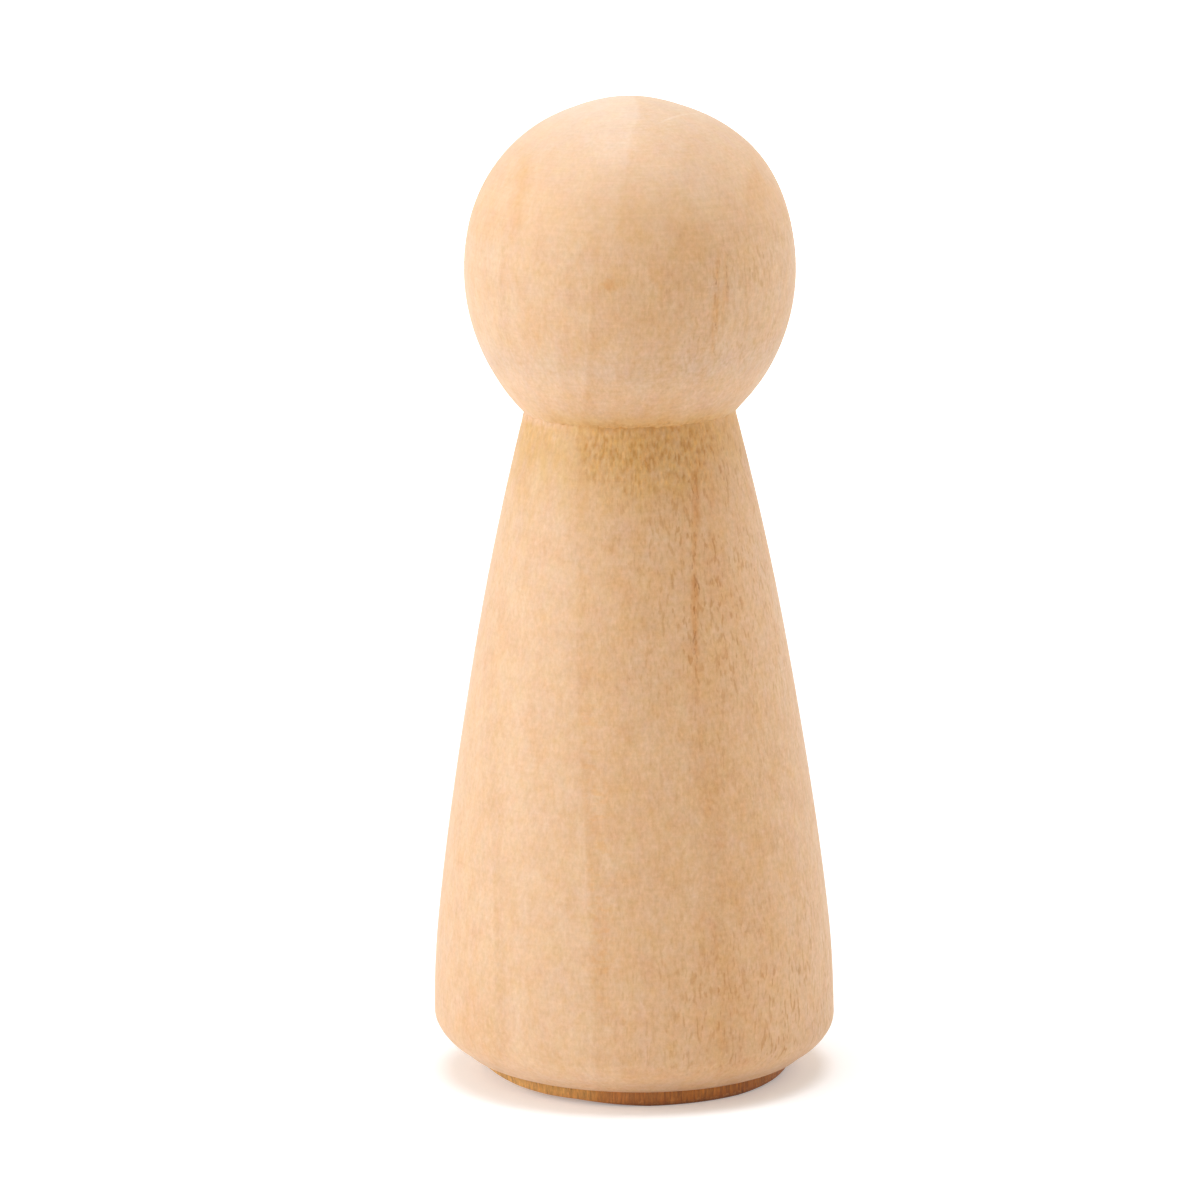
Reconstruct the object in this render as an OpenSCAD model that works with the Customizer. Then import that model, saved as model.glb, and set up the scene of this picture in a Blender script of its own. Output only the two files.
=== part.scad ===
// Wooden peg doll: a round head, a waisted neck, a flared body and a low foot,
// all lengths of one turned blank, standing on the foot with the axis of the turning on +Z.

/* [Overall] */
// Height of the doll from the floor to its crown
doll_h = 89; // [86:0.5:94]
// Largest diameter of the body, low on its flare
body_d = 36.3; // [35:0.1:38]

/* [Head] */
// Diameter of the ball that rounds the top of the head
crown_d = 29.5; // [28:0.1:31]
// Angle above level at which that ball gives way to the longer curve of the cheeks
cheek_angle = 12; // [8:1:20]

/* [Neck] */
// Height of the groove between head and body
neck_h = 60.8; // [59:0.1:62]
// Diameter at the bottom of the groove
neck_d = 18.9; // [17:0.1:20]

/* [Body] */
// Height at which the body is widest
belly_h = 5.7; // [5:0.1:7]
// Radius of the curve just above the widest place
belly_r = 85; // [60:1:110]
// Angle above level at which the belly gives way to the long, straighter flank
flank_angle = 6; // [4:0.5:7]
// Radius of the rounded lower edge
edge_r = 2.5; // [1.5:0.1:3]
// Angle below level at which the rounded edge turns in under the body
under_angle = 30; // [20:1:45]

/* [Foot] */
// Diameter of the foot
foot_d = 28; // [26:0.1:29]
// Height of the foot
foot_h = 1.4; // [1:0.1:2]
// Width of the small flat shoulder between the foot and the body's underside
shoulder_w = 0.2; // [0.1:0.1:0.4]
// Radius that eases the foot's edge at the floor
ease_r = 0.25; // [0.1:0.05:0.5]

/* [Hidden] */

bare_wood = "#deb48a";
scorched_wood = "#8a5730";
arc_steps = 28;
round_fn = 180;

// Corners of the half outline, as distance from the axis and height
neck = [neck_d / 2, neck_h];
shoulder = [foot_d / 2 + shoulder_w, foot_h];

// Direction at an angle above level, pointing away from the axis
function dir(angle) = [cos(angle), sin(angle)];

// Angle at which a point is seen from a centre
function bearing(centre, point) = atan2(point[1] - centre[1], point[0] - centre[0]);

// Radius of the arc that leaves a smooth join at the given angle and ends at a corner
function reach_r(join, angle, corner) =
    -(corner - join) * (corner - join) / (2 * (corner - join) * dir(angle));

// Points along an arc, leaving out the first, which ends the stretch before it
function arc(centre, r, from, to) =
    [for (i = [1 : arc_steps]) centre + r * dir(from + (to - from) * i / arc_steps)];

module turned(outline) {
    rotate_extrude($fn = round_fn) polygon(outline);
}

// Head: cheeks that rise from the neck groove and close over in a ball
module head() {
    crown_r = crown_d / 2;
    crown_c = [0, doll_h - crown_r];
    cheek_top = crown_c + crown_r * dir(cheek_angle);
    cheek_r = reach_r(cheek_top, cheek_angle, neck);
    cheek_c = cheek_top - cheek_r * dir(cheek_angle);
    color(bare_wood)
        turned(concat(
            [[0, neck_h], neck],
            arc(cheek_c, cheek_r, bearing(cheek_c, neck), cheek_angle),
            arc(crown_c, crown_r, cheek_angle, 90)));
}

// Body: a flare that swells from the neck to the belly and turns in to the foot's shoulder
module body() {
    belly_c = [body_d / 2 - belly_r, belly_h];
    flank_foot = belly_c + belly_r * dir(flank_angle);
    flank_r = reach_r(flank_foot, flank_angle, neck);
    flank_c = flank_foot - flank_r * dir(flank_angle);
    edge_c = [body_d / 2 - edge_r, belly_h];
    under_top = edge_c + edge_r * dir(-under_angle);
    under_r = reach_r(under_top, -under_angle, shoulder);
    under_c = under_top - under_r * dir(-under_angle);
    color(bare_wood)
        turned(concat(
            [[0, foot_h], shoulder],
            arc(under_c, under_r, bearing(under_c, shoulder), -under_angle),
            arc(edge_c, edge_r, -under_angle, 0),
            arc(belly_c, belly_r, 0, flank_angle),
            arc(flank_c, flank_r, flank_angle, bearing(flank_c, neck)),
            [[0, neck_h]]));
}

// Foot: the low disc that the lathe leaves when the doll is parted off
module foot() {
    ease_c = [foot_d / 2 - ease_r, ease_r];
    color(scorched_wood)
        turned(concat(
            [[0, 0], [ease_c[0], 0]],
            arc(ease_c, ease_r, -90, 0),
            [[foot_d / 2, foot_h], [0, foot_h]]));
}

head();
body();
foot();
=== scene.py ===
"""Turned wooden peg doll, bare and sanded, standing on its scorched foot.

The doll is one blank of a pale, fine-pored hardwood. Its three turned lengths are three pieces,
and one solid figure of rings, vessels and fibres runs through all of them, as it does in the blank.
Lengths are worked out in millimetres and turned to metres where a mesh or a lamp is made.
"""
import math

import bpy
import numpy as np
from mathutils import Matrix, Vector, noise


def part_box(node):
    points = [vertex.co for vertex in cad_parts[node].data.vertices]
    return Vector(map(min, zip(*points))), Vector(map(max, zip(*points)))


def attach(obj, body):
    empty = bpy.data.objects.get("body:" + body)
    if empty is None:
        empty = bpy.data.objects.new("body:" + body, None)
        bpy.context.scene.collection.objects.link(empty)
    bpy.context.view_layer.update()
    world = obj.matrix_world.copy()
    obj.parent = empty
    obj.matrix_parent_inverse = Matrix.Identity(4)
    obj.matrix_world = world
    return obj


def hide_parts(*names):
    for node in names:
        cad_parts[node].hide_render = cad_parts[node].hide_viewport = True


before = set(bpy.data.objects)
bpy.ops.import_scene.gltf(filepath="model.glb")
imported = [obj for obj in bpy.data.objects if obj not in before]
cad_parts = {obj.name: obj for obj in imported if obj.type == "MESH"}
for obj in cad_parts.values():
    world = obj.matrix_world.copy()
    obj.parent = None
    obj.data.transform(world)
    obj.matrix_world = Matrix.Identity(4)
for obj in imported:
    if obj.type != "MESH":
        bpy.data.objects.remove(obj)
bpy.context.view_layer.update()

MM = 0.001

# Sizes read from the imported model, in millimetres
DOLL_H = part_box("head")[1].z / MM
NECK_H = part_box("head")[0].z / MM
BELLY_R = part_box("body")[1].x / MM
FOOT_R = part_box("foot")[1].x / MM
FOOT_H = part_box("foot")[1].z / MM

# Sizes of the turning that a box doesn't give, in millimetres and degrees
NECK_R = 9.45
CROWN_R = 14.75
CHEEK_ANGLE = 12
BELLY_H = 5.7
BELLY_CURVE_R = 85
FLANK_ANGLE = 6
EDGE_R = 2.5
UNDER_ANGLE = 30
SHOULDER_W = 0.2
EASE_R = 0.25

# Spacing of the mesh along the outline, in millimetres, and its count of columns round the axis
COARSE = 0.42
MIDDLE = 0.22
FINE = 0.13
AROUND = 400
# Lengths of the outline over and under the neck groove that are meshed finely, for the torn grain
FINE_OVER_NECK = 1.0
FINE_UNDER_NECK = 9.0


# Outline of the turning: the same chain of tangent arcs as the solids, as (distance from axis, height)

def direction(angle):
    return np.array([math.cos(math.radians(angle)), math.sin(math.radians(angle))])


def bearing(centre, point):
    return math.degrees(math.atan2(point[1] - centre[1], point[0] - centre[0]))


def reach_radius(join, angle, corner):
    """Radius of the arc that leaves a smooth join at the given angle and ends at a corner."""
    across = corner - join
    return -across @ across / (2 * across @ direction(angle))


def arc(centre, radius, start, end, step):
    """Points along an arc, leaving out the first, which ends the stretch before it."""
    count = max(2, round(abs(radius * math.radians(end - start)) / step))
    return [centre + radius * direction(start + (end - start) * i / count) for i in range(1, count + 1)]


def head_outline():
    neck = np.array([NECK_R, NECK_H])
    crown = np.array([0, DOLL_H - CROWN_R])
    cheek_top = crown + CROWN_R * direction(CHEEK_ANGLE)
    cheek_radius = reach_radius(cheek_top, CHEEK_ANGLE, neck)
    cheek = cheek_top - cheek_radius * direction(CHEEK_ANGLE)
    first = bearing(cheek, neck)
    near_neck = first + math.degrees(FINE_OVER_NECK / cheek_radius)
    return ([np.array([0, NECK_H]), neck]
            + arc(cheek, cheek_radius, first, near_neck, FINE)
            + arc(cheek, cheek_radius, near_neck, CHEEK_ANGLE, MIDDLE)
            + arc(crown, CROWN_R, CHEEK_ANGLE, 90, MIDDLE))


def body_outline():
    neck = np.array([NECK_R, NECK_H])
    shoulder = np.array([FOOT_R + SHOULDER_W, FOOT_H])
    belly = np.array([BELLY_R - BELLY_CURVE_R, BELLY_H])
    flank_foot = belly + BELLY_CURVE_R * direction(FLANK_ANGLE)
    flank_radius = reach_radius(flank_foot, FLANK_ANGLE, neck)
    flank = flank_foot - flank_radius * direction(FLANK_ANGLE)
    edge = np.array([BELLY_R - EDGE_R, BELLY_H])
    under_top = edge + EDGE_R * direction(-UNDER_ANGLE)
    under_radius = reach_radius(under_top, -UNDER_ANGLE, shoulder)
    under = under_top - under_radius * direction(-UNDER_ANGLE)
    last = bearing(flank, neck)
    near_neck = last - math.degrees(FINE_UNDER_NECK / flank_radius)
    return ([np.array([0, FOOT_H]), shoulder]
            + arc(under, under_radius, bearing(under, shoulder), -UNDER_ANGLE, FINE)
            + arc(edge, EDGE_R, -UNDER_ANGLE, 0, MIDDLE)
            + arc(belly, BELLY_CURVE_R, 0, FLANK_ANGLE, COARSE)
            + arc(flank, flank_radius, FLANK_ANGLE, near_neck, COARSE)
            + arc(flank, flank_radius, near_neck, last, FINE)
            + [np.array([0, NECK_H])])


def foot_outline():
    ease = np.array([FOOT_R - EASE_R, EASE_R])
    underside = [np.array([r, 0]) for r in np.arange(0, FOOT_R - EASE_R, MIDDLE)]
    side = [np.array([FOOT_R, z]) for z in np.arange(EASE_R, FOOT_H, FINE)[1:]]
    return (underside + [np.array([FOOT_R - EASE_R, 0])] + arc(ease, EASE_R, -90, 0, FINE / 2)
            + side + [np.array([FOOT_R, FOOT_H]), np.array([0, FOOT_H])])


# Share of its length that a flat end gets on the bake map, because another piece covers it
HIDDEN_END = 0.02


def put_in_scene(name, data):
    made = bpy.data.objects.new(name, data)
    bpy.context.scene.collection.objects.link(made)
    return made


def turned_piece(name, outline, shape, corners):
    """A closed lathe mesh. shape moves its points and names shares, and corners are the rings left sharp."""
    outline = np.array(outline)
    rings = outline[1:-1]
    turn = math.pi * (2 * np.arange(AROUND) / AROUND - 1)
    radius = np.repeat(rings[:, :1], AROUND, axis=1)
    height = np.repeat(rings[:, 1:], AROUND, axis=1)
    azimuth = np.repeat(turn[None, :], len(rings), axis=0)
    radius, height, shares = shape(radius, azimuth, height)
    points = np.stack([radius * np.sin(azimuth), -radius * np.cos(azimuth), height], axis=-1).reshape(-1, 3)
    ends = [(0, 0, outline[0][1]), (0, 0, outline[-1][1])]
    vertices = np.vstack([points, ends]) * MM

    column = np.arange(AROUND)
    following = (column + 1) % AROUND
    left, right = column / AROUND, (column + 1) / AROUND
    lengths = np.linalg.norm(np.diff(outline, axis=0), axis=1)
    lengths[lengths > 2 * COARSE] *= HIDDEN_END
    up = np.append(0, np.cumsum(lengths)) / lengths.sum()
    faces, spread = [], []
    for row in range(len(rings) - 1):
        low, high = row * AROUND, (row + 1) * AROUND
        faces += np.stack([low + column, low + following, high + following, high + column], axis=1).tolist()
        v_low, v_high = np.full(AROUND, up[row + 1]), np.full(AROUND, up[row + 2])
        spread.append(np.stack([left, v_low, right, v_low, right, v_high, left, v_high], axis=1).ravel())
    bottom, top = len(points), len(points) + 1
    last = (len(rings) - 1) * AROUND
    faces += [[int(b), int(a), bottom] for a, b in zip(column, following)]
    faces += [[int(last + a), int(last + b), top] for a, b in zip(column, following)]
    middle, v_first, v_last = (left + right) / 2, np.full(AROUND, up[1]), np.full(AROUND, up[-2])
    spread.append(np.stack([right, v_first, left, v_first, middle, 0 * left], axis=1).ravel())
    spread.append(np.stack([left, v_last, right, v_last, middle, 0 * left + 1], axis=1).ravel())

    mesh = bpy.data.meshes.new(name)
    mesh.from_pydata(vertices.tolist(), [], faces)
    mesh.update()
    for share, values in shares.items():
        filled = np.append(values.ravel(), [0, 0]).astype(np.float32)
        mesh.attributes.new(share, "FLOAT", "POINT").data.foreach_set("value", filled)
    mesh.uv_layers.new(name="OFBake").data.foreach_set("uv", np.concatenate(spread).astype(np.float32))
    mesh.polygons.foreach_set("use_smooth", np.ones(len(mesh.polygons), dtype=bool))
    edges = np.empty(len(mesh.edges) * 2, dtype=np.int32)
    mesh.edges.foreach_get("vertices", edges)
    rows = edges.reshape(-1, 2) // AROUND
    corner_rows = [corner % len(rings) for corner in corners]
    sharp = (rows[:, 0] == rows[:, 1]) & np.isin(rows[:, 0], corner_rows)
    mesh.attributes.new("sharp_edge", "BOOLEAN", "EDGE").data.foreach_set("value", sharp)
    return put_in_scene(name, mesh)


# What the tools left. A mark comes in between the two values of a pair: millimetres, or the sine or cosine of
# the angle round the doll. A grain is its width and length in millimetres, and a seed.

def smooth_step(low, high, value):
    share = np.clip((value - low) / (high - low), 0, 1)
    return share * share * (3 - 2 * share)


def swelling(height, depth, middle, spread):
    return depth * np.exp(-((height - middle) / spread) ** 2)


def grain(radius, azimuth, height, width, length, seed):
    """Smooth noise from -1 to 1 whose lumps are width across and length along the doll's axis, in mm."""
    x = (radius * np.sin(azimuth) / width).ravel() + seed
    y = (-radius * np.cos(azimuth) / width).ravel() - seed
    z = (height / length).ravel()
    values = [noise.noise(point) for point in zip(x, y, z)]
    return np.array(values).reshape(radius.shape)


# The groove at the neck, cut by the corner of the gouge at the front only
GROOVE_DEPTH = 0.06
GROOVE_AZIMUTH = math.radians(9)
GROOVE_FRONT = (0.8, 0.97)
GROOVE_HALF = 0.3
# How far the corner of the neck wanders up and down, and how far from it that fades
WANDER = 0.14
WANDER_REACH = 0.8
WANDER_GRAIN = (0.5, 1.0, 6.1)
# The cutter tore the grain at the neck groove, mostly at the front right: how deep its pits are, and the
# share of that by which other fibres stand proud
TORN_DEPTH = 0.055
TORN_STANDING = 0.4
TORN_AZIMUTH = math.radians(12)
TORN_FRONT = (0.72, 0.93)
STRANDS = (0.16, 0.95, 3.1)
STRAND_SHARE = 0.7
TUFTS = (0.3, 1.3, 11.9)
TUFT_SHARE = 0.5
TORN_OUT = (0.0, 0.45)
LEFT_STANDING = (0.1, 0.55)


def groove_share(azimuth, away):
    """How much of its depth the groove has, away from the neck's corner."""
    front = smooth_step(*GROOVE_FRONT, np.cos(azimuth - GROOVE_AZIMUTH))
    return (1 - smooth_step(0, GROOVE_HALF, away)) * front


def corner_wander(azimuth, away):
    """The lift of the neck's corner, the same on the head and on the body."""
    at_corner = np.full_like(azimuth, NECK_R), azimuth, np.full_like(azimuth, NECK_H)
    return WANDER * grain(*at_corner, *WANDER_GRAIN) * (1 - smooth_step(0, WANDER_REACH, away))


def torn_side(azimuth):
    return smooth_step(*TORN_FRONT, np.cos(azimuth - TORN_AZIMUTH))


def torn_fibres(radius, azimuth, height):
    """Where fibres were torn out, and where they were left standing."""
    strands = grain(radius, azimuth, height, *STRANDS)
    tufts = grain(radius, azimuth, height, *TUFTS)
    dug = STRAND_SHARE * strands + TUFT_SHARE * tufts
    return smooth_step(*TORN_OUT, dug), smooth_step(*LEFT_STANDING, -dug)


# The crown was sanded by hand into a slightly flattened cone: (degrees from the pole, lift in mm)
CROWN_SANDING = ((0, 0), (8, -0.02), (14, -0.07), (20, -0.11), (27, -0.06), (34, 0), (45, 0.04), (62, 0.04),
                 (80, 0), (180, 0))
# The ball sits a hair to the right in the picture, and comes back over the axis at the neck
BALL_OFFSET = 0.12
BALL_OFFSET_FROM = (0, 4)
# It is a little full at its upper right: lift in mm, and the middle and spread in degrees from the pole
FULL_SIDE = 0.2
FULL_ANGLE = 52
FULL_SPREAD = 17
# How high over the neck the torn grain reaches, how ragged its end is, and the corner that it spares
HEAD_TORN_TO = (0.1, 0.65)
HEAD_RAGGED = (0.9, 1.2, 7.3)
HEAD_RAGGED_REACH = 0.5
CORNER_SPARED = (0, 0.15)
# Towards the lit far left of the ball the stain and the painted shade fade, down to a tenth, as painted light
# on that side
STAIN_AND_SHADE_FADE_LEFT = (-0.98, -0.6)
FAINTEST_LEFT = 0.1
# How high over the neck the pores are burnished shut, the stain reaches, and the painted shade under the ball
# reaches
HEAD_SMOOTH_TO = (2.0, 4.5)
HEAD_OCHRE = 0.9
HEAD_OCHRE_TO = (0.1, 2.0)
SHADE_UNDER_BALL_TO = (1.0, 4.2)
# The band that sanding rubbed pale, over the neck: strength, height and spread
RUBBED = (1, 5.6, 1.9)


def head_marks(radius, azimuth, height):
    from_pole = np.degrees(np.arctan2(radius, height - (DOLL_H - CROWN_R)))
    outward, upward = np.sin(np.radians(from_pole)), np.cos(np.radians(from_pole))
    right = np.sin(azimuth)
    above = height - NECK_H
    angles, lifts = zip(*CROWN_SANDING)
    full = np.exp(-((from_pole - FULL_ANGLE) / FULL_SPREAD) ** 2)
    lift = np.interp(from_pole, angles, lifts) + FULL_SIDE * full * np.maximum(right, 0)
    lift = lift + BALL_OFFSET * outward * right * smooth_step(*BALL_OFFSET_FROM, above)
    moved_radius = radius + lift * outward - GROOVE_DEPTH * groove_share(azimuth, above)
    moved_height = height + lift * upward + corner_wander(azimuth, above)
    ragged = above + HEAD_RAGGED_REACH * grain(radius, azimuth, height, *HEAD_RAGGED)
    torn = torn_side(azimuth) * (1 - smooth_step(*HEAD_TORN_TO, ragged))
    dug, standing = torn_fibres(radius, azimuth, height)
    relief = TORN_DEPTH * (dug - TORN_STANDING * standing) * torn
    moved_radius = moved_radius - relief * smooth_step(*CORNER_SPARED, above)
    # Stain and painted shade fade towards the lit left: painted light on that side
    shaded = FAINTEST_LEFT + (1 - FAINTEST_LEFT) * smooth_step(*STAIN_AND_SHADE_FADE_LEFT, right)
    # The ball's underside near the neck gets grey painted shade, less of it on the lit left
    shares = {"smooth": 1 - smooth_step(*HEAD_SMOOTH_TO, above), "rubbed": swelling(above, *RUBBED),
              "ochre": HEAD_OCHRE * shaded * (1 - smooth_step(*HEAD_OCHRE_TO, above)),
              "painted_shade_under_ball": shaded * (1 - smooth_step(*SHADE_UNDER_BALL_TO, above)),
              "torn": torn, "pit": dug * torn, "raised": standing * torn}
    return moved_radius, moved_height, shares


# Hand sanding left the flank a little hollow and the roll at the bottom a little full: depth, height, spread
HOLLOW = (0.1, 33, 11)
FULL_ROLL = (0.13, 3.8, 1.3)
# The parting tool's corner left a fine bead and a shallow groove round the underside, just above the foot
BEAD = (0.1, 1.75, 0.28)
BEAD_GROOVE = (0.13, 2.4, 0.34)
# The base was parted off slightly out of square to the axis, lower on the right in the picture
BASE_SLOPE = 0.0157
TILTED_TO = (5, 14)
# Soft patches and small blotches make the torn grain and its stain uneven: how far the patches move each
BODY_PATCHES = (1.8, 2.6, 7.3)
BODY_BLOTCHES = (0.6, 1.2, 4.4)
TORN_PATCHES = 1.8
OCHRE_PATCHES = 2.4
# Torn grain under the neck: its reach and strength all round, and how much more of both it has on its side
TORN_REACH = (2.8, 5.6)
TORN_STRENGTH = (0.55, 0.45)
TORN_FULL = 0.3
# The olive stain in it: its reach, how much shorter that is at the right, and its strength and blotchiness
OCHRE_REACH = (10, 3)
OCHRE_RIGHT = (0.3, 0.7)
OCHRE_STRENGTH = (0.9, 0.6)
OCHRE_FULL = 0.1
# At the left the stain stops a little short of the corner
OCHRE_LEFT = (0.35, 0.9)
OCHRE_CORNER = (0.1, 0.8)
# Painted shade low on the body towards the foot, mostly at the front right: strength, height and spread of
# its band, and a wash over it
LOW_SHADE_RIGHT = (0.35, 1.8)
LOW_SHADE_FRONT = (-0.2, 0.4)
LOW_SHADE_BAND = (1.1, 2.1, 0.9)
LOW_SHADE_WASH = 0.8
LOW_SHADE_WASH_TO = (2, 8)
# Heights up to which the roll is burnished, and up to which it is painted paler and bluer outside the painted
# shade, as painted light from the floor
BODY_SMOOTH_TO = (3.2, 5.2)
ROLL_LIGHT_TO = (2.5, 6)


def base_tilt(radius, azimuth, height):
    share = 1 - smooth_step(*TILTED_TO, height)
    return -BASE_SLOPE * radius * np.sin(azimuth) * share


def body_marks(radius, azimuth, height):
    below = NECK_H - height
    side, right = torn_side(azimuth), np.sin(azimuth)
    patches = grain(radius, azimuth, height, *BODY_PATCHES)
    blotches = grain(radius, azimuth, height, *BODY_BLOTCHES)
    reach = TORN_REACH[0] + TORN_REACH[1] * side
    torn = 1 - smooth_step(TORN_FULL * reach, reach, below + TORN_PATCHES * patches)
    torn = torn * (TORN_STRENGTH[0] + TORN_STRENGTH[1] * side)
    reach = OCHRE_REACH[0] - OCHRE_REACH[1] * smooth_step(*OCHRE_RIGHT, right)
    ochre = 1 - smooth_step(OCHRE_FULL * reach, reach, below + OCHRE_PATCHES * patches)
    ochre = ochre * (OCHRE_STRENGTH[0] + OCHRE_STRENGTH[1] * blotches)
    ochre = ochre * (1 - smooth_step(*OCHRE_LEFT, -right) * (1 - smooth_step(*OCHRE_CORNER, below)))
    dug, standing = torn_fibres(radius, azimuth, height)
    pit, raised = dug * torn, standing * torn
    groove = groove_share(azimuth, below)
    relief = TORN_DEPTH * (pit - TORN_STANDING * raised)
    moved_radius = radius - relief * (1 - groove) - GROOVE_DEPTH * groove
    moved_radius = moved_radius - swelling(height, *HOLLOW) + swelling(height, *FULL_ROLL)
    moved_radius = moved_radius + swelling(height, *BEAD) - swelling(height, *BEAD_GROOVE)
    moved_height = height + base_tilt(radius, azimuth, height) + corner_wander(azimuth, below)
    # Grey painted shade low on the body towards the foot, strongest at the front right
    low_shade_side = np.clip(LOW_SHADE_RIGHT[0] + LOW_SHADE_RIGHT[1] * right, 0, 1)
    low_shade_side = low_shade_side * smooth_step(*LOW_SHADE_FRONT, np.cos(azimuth))
    low_painted_shade = swelling(height, *LOW_SHADE_BAND) + LOW_SHADE_WASH * (1 - smooth_step(*LOW_SHADE_WASH_TO, height))
    # The roll low down is painted paler and bluer outside the painted shade: painted light from the floor
    shares = {"torn": torn, "pit": pit, "raised": raised, "ochre": ochre, "low_painted_shade": low_shade_side * low_painted_shade,
              "smooth": 1 - smooth_step(*BODY_SMOOTH_TO, height),
              "roll_painted_light": (1 - smooth_step(*ROLL_LIGHT_TO, height)) * (1 - low_shade_side)}
    return moved_radius, moved_height, shares


# The parting tool broke the foot's lower edge away at the front left: (degrees round from the front, lift in
# mm), how far in from the edge that reaches, and how far the edge moved in for each millimetre of lift
CHIP = ((-180, 0), (-110, 0), (-85, 0.75), (-70, 0.88), (-61, 0.8), (-48, 0.6), (-34, 0.44), (-22, 0.4),
        (-7, 0.15), (5, 0), (42, 0), (58, 0.15), (75, 0.3), (95, 0.2), (120, 0), (180, 0))
CHIP_WIDTH = 3.0
CHIP_INSET = 0.3
# Fibres torn up and down the foot's side as it was parted off, sunk so that few stand proud of it
RIDGE_DEPTH = 0.035
RIDGES = (0.16, 1.6, 5.3)
RIDGE_BREAKS = (0.4, 0.5, 9.7)
RIDGE_BREAK_SHARE = 0.6
RIDGES_SUNK = 0.8
RIDGES_FROM = (0.15, 0.35)
RIDGES_END = 0.15
# The tool's rings across the underside: their spacing and depth, and how far from the rim they stop
TOOL_RING = 1.3
TOOL_RING_DEPTH = 0.05
TOOL_RING_MARGIN = 1.5


def foot_marks(radius, azimuth, height):
    angles, lifts = zip(*CHIP)
    chip = np.interp(np.degrees(azimuth), angles, lifts)
    outward = smooth_step(FOOT_R - CHIP_WIDTH, FOOT_R, radius)
    up = height / FOOT_H
    lift = chip * outward * (1 - up) + base_tilt(radius, azimuth, height) * up
    within = 1 - smooth_step(FOOT_R - 2 * TOOL_RING_MARGIN, FOOT_R - TOOL_RING_MARGIN, radius)
    lift = lift + TOOL_RING_DEPTH * (0.5 - 0.5 * np.cos(2 * math.pi * radius / TOOL_RING)) * within
    breaks = grain(radius, azimuth, height, *RIDGE_BREAKS)
    ridges = grain(radius, azimuth, height, *RIDGES) + RIDGE_BREAK_SHARE * breaks - RIDGES_SUNK
    below_top = 1 - smooth_step(FOOT_H - RIDGES_END, FOOT_H, height)
    on_side = outward * smooth_step(*RIDGES_FROM, height) * below_top
    moved_radius = radius - CHIP_INSET * chip * outward * (1 - up) + RIDGE_DEPTH * ridges * on_side
    return moved_radius, height + lift, {}


# Pieces

head = turned_piece("turned_head", head_outline(), head_marks, [0])
body = turned_piece("turned_body", body_outline(), body_marks, [0, -1])
foot = turned_piece("parted_foot", foot_outline(), foot_marks, [-1])
for piece, node_name, slot_name in ((head, "head", "bare_wood"), (body, "body", "bare_wood"),
                                    (foot, "foot", "scorched_wood")):
    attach(piece, "root")
    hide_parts(node_name)


# Materials. In Map Range, input 0 is the number, 1 and 2 are its low and high end, and 3 and 4 what they
# become. In Mix, input 0 is the share, 2 and 3 are two numbers, and 6 and 7 two colours.

WHITE = (1, 1, 1, 1)
SMOOTH = {"interpolation_type": "SMOOTHSTEP"}


def linear(hex_colour):
    """An sRGB hex colour as the linear colour that a shader takes."""
    parts = [int(hex_colour[i:i + 2], 16) / 255 for i in (1, 3, 5)]
    return tuple(p / 12.92 if p <= 0.04045 else ((p + 0.055) / 1.055) ** 2.4 for p in parts) + (1.0,)


def add(tree, kind, inputs=None, **settings):
    """Adds one node. Each input is a value, a socket, or a node whose first output it takes."""
    made = tree.nodes.new("ShaderNode" + kind)
    for name, value in settings.items():
        setattr(made, name, value)
    for socket, value in (inputs or {}).items():
        if isinstance(value, bpy.types.Node):
            value = value.outputs[0]
        if isinstance(value, bpy.types.NodeSocket):
            tree.links.new(value, made.inputs[socket])
        else:
            made.inputs[socket].default_value = value
    return made


def set_stops(ramp, stops):
    """Gives a colour ramp its stops, as (place, hex colour or grey)."""
    elements = ramp.color_ramp.elements
    while len(elements) < len(stops):
        elements.new(1.0)
    for element, (place, colour) in zip(elements, stops):
        element.position = place
        element.color = linear(colour) if isinstance(colour, str) else (colour, colour, colour, 1)


def place_in_mm(tree):
    """Where a point lies in the doll's own frame, in millimetres."""
    place = add(tree, "TexCoord").outputs["Object"]
    return add(tree, "VectorMath", {0: place, 1: (1 / MM,) * 3}, operation="MULTIPLY")


def unevenness(tree, mm, size, detail, roughness, low=0.0, high=1.0):
    """Unevenness fixed in the wood, in lumps of a size in millimetres in x, y and z, from low to high."""
    place = add(tree, "VectorMath", {0: mm, 1: size}, operation="DIVIDE")
    made = add(tree, "TexNoise", {"Vector": place, "Scale": 1.0, "Detail": detail, "Roughness": roughness})
    return add(tree, "MapRange", {0: made, 3: low, 4: high})


def stained_or_painted_light(tree, colour, share, stain_or_light):
    """The colour under a share of a tint, from a real mark or from painted light or shade, which is given as
    what it does to red, green and blue.
    """
    shown = add(tree, "Mix", {0: share, 6: WHITE, 7: stain_or_light}, data_type="RGBA").outputs[2]
    changed = add(tree, "Mix", {0: 1.0, 6: colour, 7: shown}, data_type="RGBA", blend_type="MULTIPLY")
    return changed.outputs[2]


# How the blank was cut from the log, in millimetres: the pith lies far to the left of the doll
PITH = (-70.0, -13.0)
# Sideways lie of the grain at a few heights: it leans and bows a little
GRAIN_LIE = ((0, -3.5), (10, -3.55), (16, -3.65), (28.5, -4.25), (37, -4.7), (54, -4.55), (60, -4.3),
             (64, -3.8), (71, -3.3), (79.5, -2.9), (83.3, -2.05), (86.3, -1.2), (88.2, -0.1), (89, 0.2))
LIE_SPAN = 5.0
# Low down the rings stand a little wider apart: the heights between which that ends, and how much
RING_SPREAD = {1: 8, 2: 38, 3: 1.12, 4: 1.0}
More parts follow.
